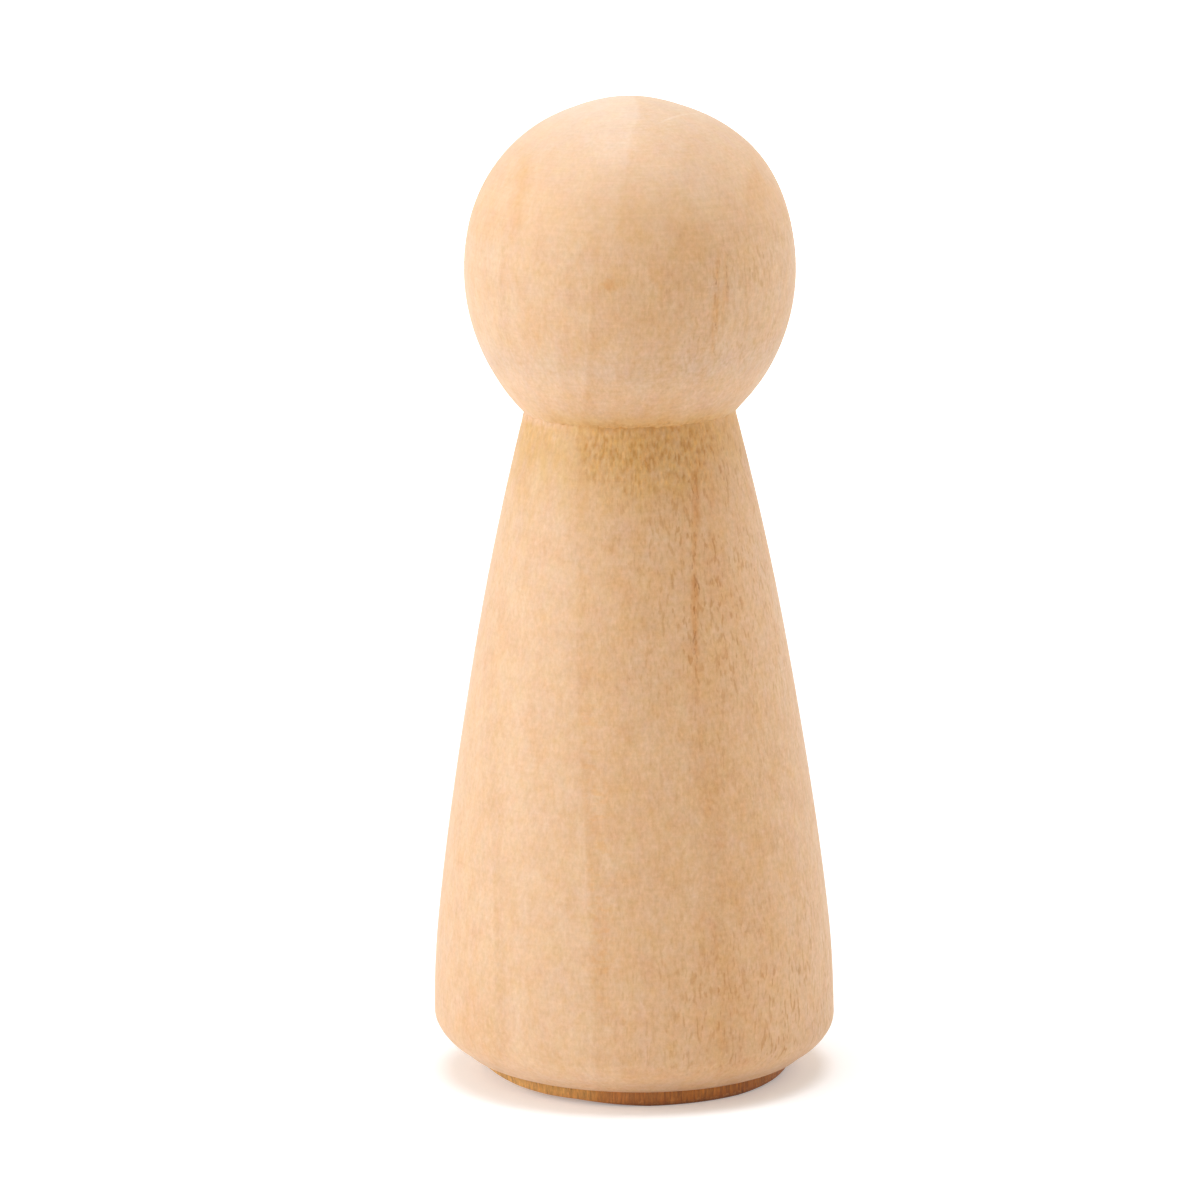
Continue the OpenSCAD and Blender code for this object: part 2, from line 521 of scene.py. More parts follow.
# Each unevenness is the size of its lumps in x, y and z in millimetres, its count of finer layers and their
# strength, and its lowest and highest value. Two wavers move the rings, in millimetres.
BROAD_WAVER = ((12.5, 4.0, 14.3), 2, 0.5, -0.3, 0.3)
FINE_WAVER = ((0.83, 0.83, 2.5), 2, 0.6, -0.15, 0.15)


def place_out(tree, mm, share_up):
    """Distance out from the ring boundary left of the doll's middle. The rings waver, broadly and finely."""
    lie_curve = add(tree, "FloatCurve", {"Value": share_up})
    curve = lie_curve.mapping.curves[0]
    for height, lie in GRAIN_LIE[1:-1]:
        curve.points.new(height / DOLL_H, 0)
    for point, (height, lie) in zip(curve.points, GRAIN_LIE):
        point.location = (height / DOLL_H, 0.5 + lie / (2 * LIE_SPAN))
    lie_curve.mapping.update()
    lie = add(tree, "MapRange", {0: lie_curve, 3: -LIE_SPAN, 4: LIE_SPAN})
    x, y, z = add(tree, "SeparateXYZ", {0: mm}).outputs
    straight_x = add(tree, "Math", {0: x, 1: lie}, operation="SUBTRACT")
    from_pith_x = add(tree, "Math", {0: straight_x, 1: -PITH[0]}, operation="ADD")
    from_pith_y = add(tree, "Math", {0: y, 1: -PITH[1]}, operation="ADD")
    from_pith = add(tree, "CombineXYZ", {0: from_pith_x, 1: from_pith_y})
    out_from_pith = add(tree, "VectorMath", {0: from_pith}, operation="LENGTH").outputs["Value"]
    out = add(tree, "Math", {0: out_from_pith, 1: PITH[0]}, operation="ADD")
    spread = add(tree, "MapRange", {0: z, **RING_SPREAD})
    out = add(tree, "Math", {0: out, 1: spread}, operation="DIVIDE")
    for waver in (BROAD_WAVER, FINE_WAVER):
        out = add(tree, "Math", {0: out, 1: unevenness(tree, mm, *waver)}, operation="ADD")
    return out


# Paleness of the wood at places out from the pith. Each ring ends in a step from pale to darker wood.
RING_LOW = -30.0
RING_SPAN = 60.0
BODY_RINGS = ((-19.8, -0.02), (-11, 0.055), (-9.8, 0.06), (-9, 0.1), (-8.15, 0.085), (-7.95, 0.06),
              (-7, 0.075), (-6.2, 0.115), (-5.6, 0.12), (-4.6, 0.06), (-3.6, 0.055), (-2.4, 0.08),
              (-1.2, 0.055), (-0.6, 0.07), (-0.1, 0.065), (0.06, -0.05), (1.6, -0.03), (3.2, -0.065),
              (5, -0.06), (7.5, -0.075), (9.5, -0.085), (9.8, -0.14), (10.5, -0.18), (11.5, -0.18),
              (12.7, -0.165), (13.5, -0.12), (15.5, -0.08), (18, 0.01), (30, 0.0))
BALL_RINGS = ((-19.8, -0.02), (-10, 0.17), (-8.8, 0.16), (-8.1, 0.11), (-6.8, 0.11), (-5.2, 0.06),
              (-3.8, 0.055), (-2.4, 0.045), (-1.5, 0.02), (-1, 0.055), (-0.12, 0.085), (0.1, -0.06),
              (1, -0.05), (1.7, -0.02), (3, -0.05), (3.5, -0.01), (5, -0.04), (6.5, -0.06), (7.6, -0.08),
              (8.6, -0.015), (9.5, 0.03), (10.7, 0.02), (10.9, -0.03), (11.6, 0.0), (13, 0.015),
              (14.5, 0.03), (16.5, 0.06), (30, 0.05))
# In the crown other rings come to the surface
CROWN_RINGS = ((-19.8, -0.02), (-9, 0.06), (-7.7, 0.06), (-7.25, -0.05), (-6.75, -0.13), (-6.3, -0.06),
               (-5.8, 0.04), (-3, 0.07), (1.55, 0.08), (1.9, -0.03), (3.2, -0.02), (4.5, 0.0), (7, -0.03),
               (8.5, 0.01), (11, 0.01), (12.8, -0.03), (13.5, -0.1), (14.6, -0.09), (15.4, -0.03), (30, 0.0))
# At the very top one plain boundary crosses it
TOP_RINGS = ((-30, 0.1), (-5, 0.13), (1.5, 0.12), (1.75, -0.1), (3.5, -0.09), (5.5, -0.02), (30, 0.0))
# The heights between which each set of rings gives way to the next
BALL_FROM = {1: NECK_H - 1, 2: NECK_H + 1}
CROWN_FROM = {1: 75.5, 2: 79.5}
TOP_FROM = {1: 83.5, 2: 86.0}
PALE_SPAN = 0.25
# Softly darker and paler patches of the wood: middle, half width and half height in millimetres, paleness
PATCHES = (((-6.8, -12.2, 78.8), 4.5, 3.2, -0.07), ((5.6, -13.5, 76.6), 2.2, 4.5, -0.18),
           ((0.2, -14.7, 71.8), 4, 3.5, -0.05), ((9.3, -11.1, 70.3), 3.2, 4.5, 0.16),
           ((5.9, -10.7, 82.4), 2.5, 2.5, 0.12), ((-3.8, -12.8, 68.6), 2.4, 2.6, -0.12),
           ((-7.8, -11, 70), 1.8, 3.5, -0.1), ((11.3, -5.5, 81.8), 2.2, 2.2, -0.14),
           ((8, -10, 46), 1.1, 6, -0.09), ((7.1, -16.4, 12), 2.6, 9, -0.11),
           ((-13.6, -11.8, 6), 4, 4, -0.17), ((-10.3, -14.8, 9.3), 1.6, 3, 0.07))
# How far out a patch begins and ends to fade, as a share of its half sizes
PATCH_FADE = {1: 0.2, 2: 1.2}


def paleness_at(tree, share_out, rings):
    """The paleness of the rings, read off a ramp of greys."""
    ramp = add(tree, "ValToRGB", {0: share_out})
    set_stops(ramp, [((at - RING_LOW) / RING_SPAN, 0.5 + pale / (2 * PALE_SPAN)) for at, pale in rings])
    return add(tree, "MapRange", {0: ramp, 3: -PALE_SPAN, 4: PALE_SPAN})


def by_height(tree, share_up, heights):
    """A share that changes with height, read off a ramp of greys."""
    ramp = add(tree, "ValToRGB", {0: share_up})
    set_stops(ramp, [(height / DOLL_H, grey) for height, grey in heights])
    return ramp


def distance_from(tree, mm, middle, stretch):
    """Distance from a middle, once each direction is stretched."""
    off = add(tree, "VectorMath", {0: mm, 1: middle}, operation="SUBTRACT")
    off = add(tree, "VectorMath", {0: off, 1: stretch}, operation="MULTIPLY")
    return add(tree, "VectorMath", {0: off}, operation="LENGTH").outputs["Value"]


def ring_paleness(tree, mm, z, share_out):
    """The paleness of the rings, which differ from height to height, and of the patches on them."""
    pale = paleness_at(tree, share_out, BODY_RINGS)
    for limits, rings in ((BALL_FROM, BALL_RINGS), (CROWN_FROM, CROWN_RINGS), (TOP_FROM, TOP_RINGS)):
        share = add(tree, "MapRange", {0: z, **limits}, **SMOOTH)
        pale = add(tree, "Mix", {0: share, 2: pale, 3: paleness_at(tree, share_out, rings)})
    for middle, half_width, half_height, paleness in PATCHES:
        off = distance_from(tree, mm, middle, (1 / half_width, 1 / half_width, 1 / half_height))
        patch = add(tree, "MapRange", {0: off, **PATCH_FADE, 3: paleness, 4: 0.0}, **SMOOTH)
        pale = add(tree, "Math", {0: pale, 1: patch}, operation="ADD")
    return pale


# What paleness does to red, green and blue: paler wood is bluer first, then greener, and hardly redder. Fine
# grain and late wood change the three more alike. Two other hues are yellow and a faint blush.
PALENESS = (0.17, 0.48, 1.0)
FINE_PALENESS = (0.55, 0.72, 1.0)
LATE_PALENESS = (0.62, 0.85, 1.0)
YELLOWNESS = (0.6, 0.5, -0.6)
BLUSH = (0.4, -0.5, 0.4)
# Clouds from 2 mm down to a quarter, grain finer than that, and faint clouds of the two other hues
CLOUDS = ((2.0, 2.0, 3.125), 3, 0.9, -0.48, 0.48)
FINE_GRAIN = ((0.37, 0.37, 0.5), 2, 0.8, -0.34, 0.34)
YELLOW_CLOUDS = ((2.0, 2.22, 2.5), 2, 0.8, -0.1, 0.1)
BLUSH_CLOUDS = ((1.67, 1.54, 2.0), 2, 0.8, -0.07, 0.07)
# The fine grain is fainter to the left of the doll's middle
FINE_GRAIN_SHOWS = {1: -6, 2: 10, 3: 0.78, 4: 1.0}
# A thin darker line of late wood follows each boundary
LATE_WOOD = ((-8.15, 0), (-7.95, -0.065), (-7.4, -0.05), (-6.9, 0), (-0.1, 0), (0.06, -0.05), (0.7, -0.035),
             (1.4, 0), (9.5, 0), (9.8, -0.02), (10.8, -0.035), (11.4, -0.02), (11.8, 0), (16.4, 0),
             (16.8, -0.03), (18, 0))
# How plainly grain and late wood show at each height: the tools cut them at different slants
GRAIN_HEIGHTS = ((61, 1.0), (76, 0.95), (80, 0.7), (89, 0.55))
LATE_HEIGHTS = ((20, 1.0), (30, 0.75), (38, 0.35), (60, 0.35), (62, 1.0), (76, 0.9), (79, 0))
# Sanding on the lathe left faint lines round the axis: their size is in radians round, mm up and mm out
SANDING = ((0.455, 0.238, 0.238), 2, 0.7, -0.11, 0.11)
SANDING_SHOWS = {3: 0.7, 4: 1.0}


def wood_tint(tree, mm, ring_place, share_out, share_up):
    """What the figure does to the wood's colour, before flecks and the knot."""
    x, y, z = add(tree, "SeparateXYZ", {0: mm}).outputs
    grain_share = by_height(tree, share_up, GRAIN_HEIGHTS)
    clouds = add(tree, "Math", {0: unevenness(tree, mm, *CLOUDS), 1: grain_share}, operation="MULTIPLY")
    pale = add(tree, "Math", {0: ring_paleness(tree, mm, z, share_out), 1: clouds}, operation="ADD")
    tint = add(tree, "VectorMath", {0: pale, 1: PALENESS, 2: WHITE[:3]}, operation="MULTIPLY_ADD")
    fine_grain = unevenness(tree, mm, *FINE_GRAIN)
    shows = add(tree, "MapRange", {0: ring_place, **FINE_GRAIN_SHOWS})
    for share in (shows, grain_share):
        fine_grain = add(tree, "Math", {0: fine_grain, 1: share}, operation="MULTIPLY")
    late_wood = paleness_at(tree, share_out, LATE_WOOD)
    late_share = by_height(tree, share_up, LATE_HEIGHTS)
    late_wood = add(tree, "Math", {0: late_wood, 1: late_share}, operation="MULTIPLY")

    round_angle = add(tree, "Math", {0: y, 1: x}, operation="ARCTAN2")
    from_axis = add(tree, "VectorMath", {0: add(tree, "CombineXYZ", {0: x, 1: y})}, operation="LENGTH")
    round_place = add(tree, "CombineXYZ", {0: round_angle, 1: z, 2: from_axis.outputs["Value"]})
    in_ball = add(tree, "MapRange", {0: z, **BALL_FROM}, **SMOOTH)
    on_ball = add(tree, "MapRange", {0: in_ball, **SANDING_SHOWS})
    sanding = unevenness(tree, round_place, *SANDING)
    sanding = add(tree, "Math", {0: sanding, 1: on_ball}, operation="MULTIPLY")

    for share, hue in ((fine_grain, FINE_PALENESS), (late_wood, LATE_PALENESS),
                       (unevenness(tree, mm, *YELLOW_CLOUDS), YELLOWNESS),
                       (unevenness(tree, mm, *BLUSH_CLOUDS), BLUSH), (sanding, FINE_PALENESS)):
        tint = add(tree, "VectorMath", {0: share, 1: hue, 2: tint}, operation="MULTIPLY_ADD")
    return tint


# Ray flecks: small level ticks of darker, oranger wood just outside the middle boundary, low on the body
TICKS = ((1.43, 1.43, 0.667), 2, 0.6)
TICK_LIMITS = {1: 0.5, 2: 0.64}
TICKS_BEGIN = {1: -0.4, 2: 0.3}
TICKS_END = {1: 1.2, 2: 2.6, 3: 1.0, 4: 0.0}
TICK_HEIGHTS = ((0, 0.0), (8, 0.3), (14, 1.0), (30, 1.0), (42, 0.3), (50, 0.0))
TICK_STAIN = (1.0, 0.93, 0.82, 1)


def ray_flecks(tree, mm, ring_place, share_up):
    """How plainly a ray fleck shows."""
    ticks = unevenness(tree, mm, *TICKS)
    ticks = add(tree, "MapRange", {0: ticks, **TICK_LIMITS}, **SMOOTH)
    begin = add(tree, "MapRange", {0: ring_place, **TICKS_BEGIN})
    end = add(tree, "MapRange", {0: ring_place, **TICKS_END})
    for share in (begin, end, by_height(tree, share_up, TICK_HEIGHTS)):
        ticks = add(tree, "Math", {0: ticks, 1: share}, operation="MULTIPLY")
    return ticks


# A pin knot on the face of the ball, a small orange spot with a ragged edge: its place and radius
PIN_KNOT = (-1.8, -14.7, 74.4)
PIN_KNOT_R = 0.5
PIN_KNOT_SHAPE = (0.9, 0.9, 1.15)
PIN_KNOT_FADE = {1: 0.2 * PIN_KNOT_R, 2: 1.9 * PIN_KNOT_R, 3: 0.75, 4: 0.0}
PIN_KNOT_EDGE = ((0.417, 0.417, 0.417), 3, 0.7, -0.6, 0.6)
PIN_KNOT_STAIN = (0.96, 0.78, 0.52, 1)


def pin_knot(tree, mm):
    """How plainly the pin knot shows."""
    off = distance_from(tree, mm, PIN_KNOT, PIN_KNOT_SHAPE)
    off = add(tree, "Math", {0: off, 1: unevenness(tree, mm, *PIN_KNOT_EDGE)}, operation="ADD")
    return add(tree, "MapRange", {0: off, **PIN_KNOT_FADE}, **SMOOTH)


# Vessels cut open by the turning, as soft short dashes. In life they are 0.05 to 0.1 mm wide, too fine to
# show, so they are drawn three times as coarse.
VESSELS = ((0.303, 0.303, 1.11), 1, 0.5)
VESSEL_LIMITS = {1: 0.53, 2: 0.68}
VESSEL_CLOUDS = ((2.86, 2.86, 4.55), 2, 0.5)
VESSEL_CLOUD_LIMITS = {1: 0.3, 2: 0.65, 3: 0.25, 4: 1.0}
VESSEL_ZONES = ((-1, 0.1), (0.5, 0.25), (4, 0.4), (7, 0.75), (10, 1.0))
VESSEL_HEIGHTS = ((10, 1.3), (16, 0.7), (22, 0.4), (34, 0.5), (40, 0.95), (48, 1.15), (58, 1.15), (61, 0.3),
                  (66, 0.35), (69, 0.6), (77, 0.55), (80, 0.12), (89, 0.05))


def open_vessels(tree, mm, share_out, share_up):
    """How plainly a vessel shows."""
    dashes = unevenness(tree, mm, *VESSELS)
    dashes = add(tree, "MapRange", {0: dashes, **VESSEL_LIMITS}, **SMOOTH)
    patchy = unevenness(tree, mm, *VESSEL_CLOUDS)
    patchy = add(tree, "MapRange", {0: patchy, **VESSEL_CLOUD_LIMITS})
    zone = add(tree, "ValToRGB", {0: share_out})
    set_stops(zone, [((at - RING_LOW) / RING_SPAN, grey) for at, grey in VESSEL_ZONES])
    for share in (patchy, zone, by_height(tree, share_up, VESSEL_HEIGHTS)):
        dashes = add(tree, "Math", {0: dashes, 1: share}, operation="MULTIPLY")
    return dashes


# Broken streaks of gum along a ring boundary, soft and orange with a thin dark crack in them that wanders:
# place out from the pith, lowest and highest point, strength
GUM_STREAKS = ((10.45, 40, 50, 1.0), (10.45, 50, 56.5, 0.95), (10.5, 27, 40, 0.22), (9.3, 47, 56, 0.35),
               (10.9, 68, 76.5, 1.0), (11.7, 71, 76.5, 0.6), (13.6, 68, 74, 0.3), (11.8, 46, 56, 0.3))
# How far out from their middle the streak and the crack fade, and half the length over which a streak ends
GUM_FADE = {1: 0.1, 2: 0.45, 3: 1.0, 4: 0.0}
CRACK_FADE = {1: 0.03, 2: 0.15, 3: 1.0, 4: 0.0}
GUM_END = 1.5
# Where the streak and the crack are broken, and how far the crack wanders
GUM_BREAKS = ((0.714, 2.0, 2.5), 3, 0.7)
GUM_LIMITS = {1: 0.36, 2: 0.56}
CRACK_BREAKS = ((0.476, 0.476, 1.25), 3, 0.7)
CRACK_LIMITS = {1: 0.5, 2: 0.6}
CRACK_WANDER = ((0.77, 0.77, 2.5), 2, 0.5, -0.8, 0.8)


def gum_streaks(tree, mm, z, ring_place):
    """How plainly gum shows, and how plainly the crack in it."""
    gum_whole = add(tree, "MapRange", {0: unevenness(tree, mm, *GUM_BREAKS), **GUM_LIMITS})
    crack_whole = add(tree, "MapRange", {0: unevenness(tree, mm, *CRACK_BREAKS), **CRACK_LIMITS})
    wander = unevenness(tree, mm, *CRACK_WANDER)
    gum, crack = 0.0, 0.0
    for at, low, high, strength in GUM_STREAKS:
        off = add(tree, "Math", {0: ring_place, 1: at}, operation="SUBTRACT")
        middle, half = (low + high) / 2, (high - low) / 2
        along = add(tree, "Math", {0: z, 1: middle}, operation="SUBTRACT")
        along = add(tree, "Math", {0: along}, operation="ABSOLUTE")
        along = add(tree, "MapRange", {0: along, 1: half - GUM_END, 2: half + GUM_END, 3: strength, 4: 0.0})
        from_band = add(tree, "Math", {0: off}, operation="ABSOLUTE")
        band = add(tree, "MapRange", {0: from_band, **GUM_FADE})
        gum = add(tree, "Math", {0: band, 1: along, 2: gum}, operation="MULTIPLY_ADD")
        from_crack = add(tree, "Math", {0: off, 1: wander}, operation="ADD")
        from_crack = add(tree, "Math", {0: from_crack}, operation="ABSOLUTE")
        line = add(tree, "MapRange", {0: from_crack, **CRACK_FADE})
        crack = add(tree, "Math", {0: line, 1: along, 2: crack}, operation="MULTIPLY_ADD")
    gum = add(tree, "Math", {0: gum, 1: gum_whole}, operation="MULTIPLY")
    crack = add(tree, "Math", {0: crack, 1: crack_whole}, operation="MULTIPLY")
    return gum, crack


# Fibres, drawn 0.2 mm across and a millimetre long, because in life they are ten times finer than can show
FIBRES = ((0.222, 0.222, 1.11), 3, 0.65)


def wood_figure():
    """The solid figure of the blank, shared by every piece: colour, vessels, gum and fibres."""
    tree = bpy.data.node_groups.new("wood figure", "ShaderNodeTree")
    tree.interface.new_socket("Tint", in_out="OUTPUT", socket_type="NodeSocketColor")
    for name in ("Vessel", "Gum", "Crack", "Fibre"):
        tree.interface.new_socket(name, in_out="OUTPUT", socket_type="NodeSocketFloat")
    out = tree.nodes.new("NodeGroupOutput")
    mm = place_in_mm(tree)
    z = add(tree, "SeparateXYZ", {0: mm}).outputs[2]
    share_up = add(tree, "Math", {0: z, 1: DOLL_H}, operation="DIVIDE")
    ring_place = place_out(tree, mm, share_up)
    share_out = add(tree, "MapRange", {0: ring_place, 1: RING_LOW, 2: RING_LOW + RING_SPAN})
    tint = wood_tint(tree, mm, ring_place, share_out, share_up)
    tint = stained_or_painted_light(tree, tint, ray_flecks(tree, mm, ring_place, share_up), TICK_STAIN)
    tint = stained_or_painted_light(tree, tint, pin_knot(tree, mm), PIN_KNOT_STAIN)
    gum, crack = gum_streaks(tree, mm, z, ring_place)
    made = {"Tint": tint, "Vessel": open_vessels(tree, mm, share_out, share_up).outputs[0],
            "Gum": gum.outputs[0], "Crack": crack.outputs[0],
            "Fibre": unevenness(tree, mm, *FIBRES).outputs[0]}
    for name, socket in made.items():
        tree.links.new(socket, out.inputs[name])
    return tree


# Clean wood, before its figure and stains
CLEAN_WOOD = "#d8ae84"
# What each mark does to red, green and blue. Torn fibres soak up dirt and look olive brown, and the pits
# between them are darker and browner. A band rubbed by sanding over the neck looks pinker and paler. Grey
# painted shade falls under the ball and low on the body, and painted light and highlight make the roll, crown
# and top paler.
MARK_STAINS_AND_PAINTED_LIGHT = (("ochre", (0.96, 0.92, 0.65, 1)), ("pit", (0.86, 0.76, 0.54, 1)),
               ("raised", (1.12, 1.11, 0.98, 1)), ("streak", (1.0, 0.885, 0.7, 1)),
               ("low_painted_shade", (0.87, 0.87, 0.88, 1)), ("painted_shade_under_ball", (0.94, 0.93, 0.93, 1)),
               ("rubbed", (0.955, 1.0, 1.1, 1)), ("roll_painted_light", (1.0, 1.02, 1.06, 1)),
               ("crown", (0.97, 1.04, 1.19, 1)), ("top", (1.06, 1.13, 1.2, 1)),
               ("scratch", (1.04, 1.1, 1.2, 1)))
PORE_STAIN = (0.83, 0.72, 0.53, 1)
GUM_STAIN = (0.95, 0.8, 0.58, 1)
CRACK_STAIN = (0.7, 0.56, 0.4, 1)
# The shares that the meshes carry
MESH_SHARES = ("torn", "pit", "raised", "ochre", "smooth", "low_painted_shade", "painted_shade_under_ball", "rubbed", "roll_painted_light")
# The sanded crown is smoother, and towards its very top, which is end grain, it is painted paler and bluer as
# a painted highlight of the overhead lamp and the white surround
CROWN_SANDED_AND_HIGHLIGHT_FROM = {1: 80.0, 2: 88.0}
TOP_PAINTED_HIGHLIGHT_FROM = {1: 86.3, 2: 88.8}
# Between the pits of the torn grain the fibres are streaked
STREAK_LIMITS = {1: 0.46, 2: 0.68}
# A sanding scratch over the crown: its two ends, its width, how it fades across and towards its ends, and the
# heights between which it comes in
SCRATCH = ((2.43, -6.36, 87.33), (6.9, 0.18, 87.28))
SCRATCH_W = 0.11
SCRATCH_FADE = {1: 0.4 * SCRATCH_W, 2: 1.5 * SCRATCH_W, 3: 1.0, 4: 0.0}
SCRATCH_ENDS = (0.25, 0.6)
SCRATCH_FROM = {1: 84, 2: 85}
# Raised fibres and sunken pores: their depth in mm and how strongly it shows
SKIN_RELIEF = 0.04
SKIN_RELIEF_SHOWS = 0.6
# Roughness of bare wood off the lathe and of the sanded crown, and the faint fuzz of its fibres
SKIN_ROUGHNESS = {3: 0.58, 4: 0.5}
WOOD_IOR = 1.5
FUZZ = 0.08
FUZZ_ROUGHNESS = 0.4


def scratch_share(tree, mm, z):
    """How plainly the scratch shows: a piece of a circle round the ball's middle, faded at its ends."""
    centre = Vector((0, 0, DOLL_H - CROWN_R))
    start, end = (Vector(point) for point in SCRATCH)
    upright = (start - centre).cross(end - centre).normalized()
    along_line = (end - start).normalized()
    from_centre = add(tree, "VectorMath", {0: mm, 1: centre}, operation="SUBTRACT")
    off_line = add(tree, "VectorMath", {0: from_centre, 1: upright}, operation="DOT_PRODUCT")
    off_line = add(tree, "Math", {0: off_line.outputs["Value"]}, operation="ABSOLUTE")
    scratch = add(tree, "MapRange", {0: off_line, **SCRATCH_FADE})
    from_middle = add(tree, "VectorMath", {0: mm, 1: (start + end) / 2}, operation="SUBTRACT")
    travelled = add(tree, "VectorMath", {0: from_middle, 1: along_line}, operation="DOT_PRODUCT")
    travelled = add(tree, "Math", {0: travelled.outputs["Value"]}, operation="ABSOLUTE")
    first, last = (share * (end - start).length for share in SCRATCH_ENDS)
    ends = add(tree, "MapRange", {0: travelled, 1: first, 2: last, 3: 1.0, 4: 0.0})
    on_top = add(tree, "MapRange", {0: z, **SCRATCH_FROM})
    for share in (ends, on_top):
        scratch = add(tree, "Math", {0: scratch, 1: share}, operation="MULTIPLY")
    return scratch


def new_material(name):
    material = bpy.data.materials.new(name)
    material.use_nodes = True
    material.node_tree.nodes.clear()
    return material, material.node_tree


def bare_wood(figure_group):
    """Pale hardwood, turned and sanded, with no finish: a soft, matt, warm skin with fine dark pores."""
    material, tree = new_material("bare sanded hardwood")
    figure = add(tree, "Group", node_tree=figure_group)
    wood = stained_or_painted_light(tree, linear(CLEAN_WOOD), 1.0, figure.outputs["Tint"])
    shares = {name: add(tree, "Attribute", attribute_name=name).outputs["Fac"] for name in MESH_SHARES}
    mm = place_in_mm(tree)
    z = add(tree, "SeparateXYZ", {0: mm}).outputs[2]
    # Painted highlight: the crown and its top are painted paler and bluer
    shares["crown"] = add(tree, "MapRange", {0: z, **CROWN_SANDED_AND_HIGHLIGHT_FROM})
    shares["top"] = add(tree, "MapRange", {0: z, **TOP_PAINTED_HIGHLIGHT_FROM})
    shares["scratch"] = scratch_share(tree, mm, z)
    streaked = add(tree, "MapRange", {0: figure.outputs["Fibre"], **STREAK_LIMITS})
    shares["streak"] = add(tree, "Math", {0: streaked, 1: shares["torn"]}, operation="MULTIPLY")
    rough = add(tree, "Math", {0: 1.0, 1: shares["smooth"]}, operation="SUBTRACT")
    pore = add(tree, "Math", {0: figure.outputs["Vessel"], 1: rough}, operation="MULTIPLY")

    stains_and_painted_light = [(shares[name], stain_or_light) for name, stain_or_light in MARK_STAINS_AND_PAINTED_LIGHT]
    stains_and_painted_light += [(pore, PORE_STAIN), (figure.outputs["Gum"], GUM_STAIN), (figure.outputs["Crack"], CRACK_STAIN)]
    for share, stain_or_light in stains_and_painted_light:
        wood = stained_or_painted_light(tree, wood, share, stain_or_light)

    relief = add(tree, "Math", {0: figure.outputs["Fibre"], 1: pore}, operation="SUBTRACT")
    bump = add(tree, "Bump", {"Strength": SKIN_RELIEF_SHOWS, "Distance": SKIN_RELIEF * MM, "Height": relief})
    roughness = add(tree, "MapRange", {0: shares["crown"], **SKIN_ROUGHNESS})
    shader = add(tree, "BsdfPrincipled", {"Base Color": wood, "Roughness": roughness, "Normal": bump,
                                          "IOR": WOOD_IOR, "Sheen Weight": FUZZ,
                                          "Sheen Roughness": FUZZ_ROUGHNESS})
    add(tree, "OutputMaterial", {0: shader})
    return material


# Brown of the foot from its left to its right as the camera sees it: scorched wood with painted shade under
# the body's overhang, painted lighter at the left and darker at the right as painted light from the key lamp
FOOT_BROWNS = ((0.0, "#c8944f"), (0.28, "#c28c46"), (0.36, "#b87f3c"), (0.44, "#b27236"), (0.7, "#aa6924"),
               (1.0, "#9c5e18"))
# Fibres up and down its side, as dark and bright lines, and their depth in mm
FOOT_FIBRES = ((0.227, 0.227, 2.22), 3, 0.75)
FOOT_LINES = {1: 0.3, 2: 0.7, 3: 0.55, 4: 1.45}
FOOT_RELIEF = 0.06
FOOT_RELIEF_SHOWS = 0.7
FOOT_ROUGHNESS = 0.6
# The lower half is rubbed redder and darker, with crumbs of brighter wood where the skin broke, and the edge
# at the floor is painted darkest as painted contact shadow. All fade inwards from the rim, across the
# underside.
FOOT_RIM = {1: FOOT_R - 1.6, 2: FOOT_R - 0.6, 3: 0.15, 4: 1.0}
LOW_HALF = {1: 0.35, 2: 0.95, 3: 0.7, 4: 0.0}
LOW_HALF_STAIN = (0.86, 0.72, 0.62, 1)
CRUMBS = ((0.526, 0.526, 0.385), 3, 0.8)
CRUMB_LIMITS = {1: 0.54, 2: 0.64, 3: 0.0, 4: 0.9}
CRUMB_WOOD = "#c98a4c"
FLOOR_CONTACT_SHADE = {1: 0.05, 2: 0.45, 3: 0.75, 4: 0.0}
CONTACT_SHADE_BROWN = "#5a341c"


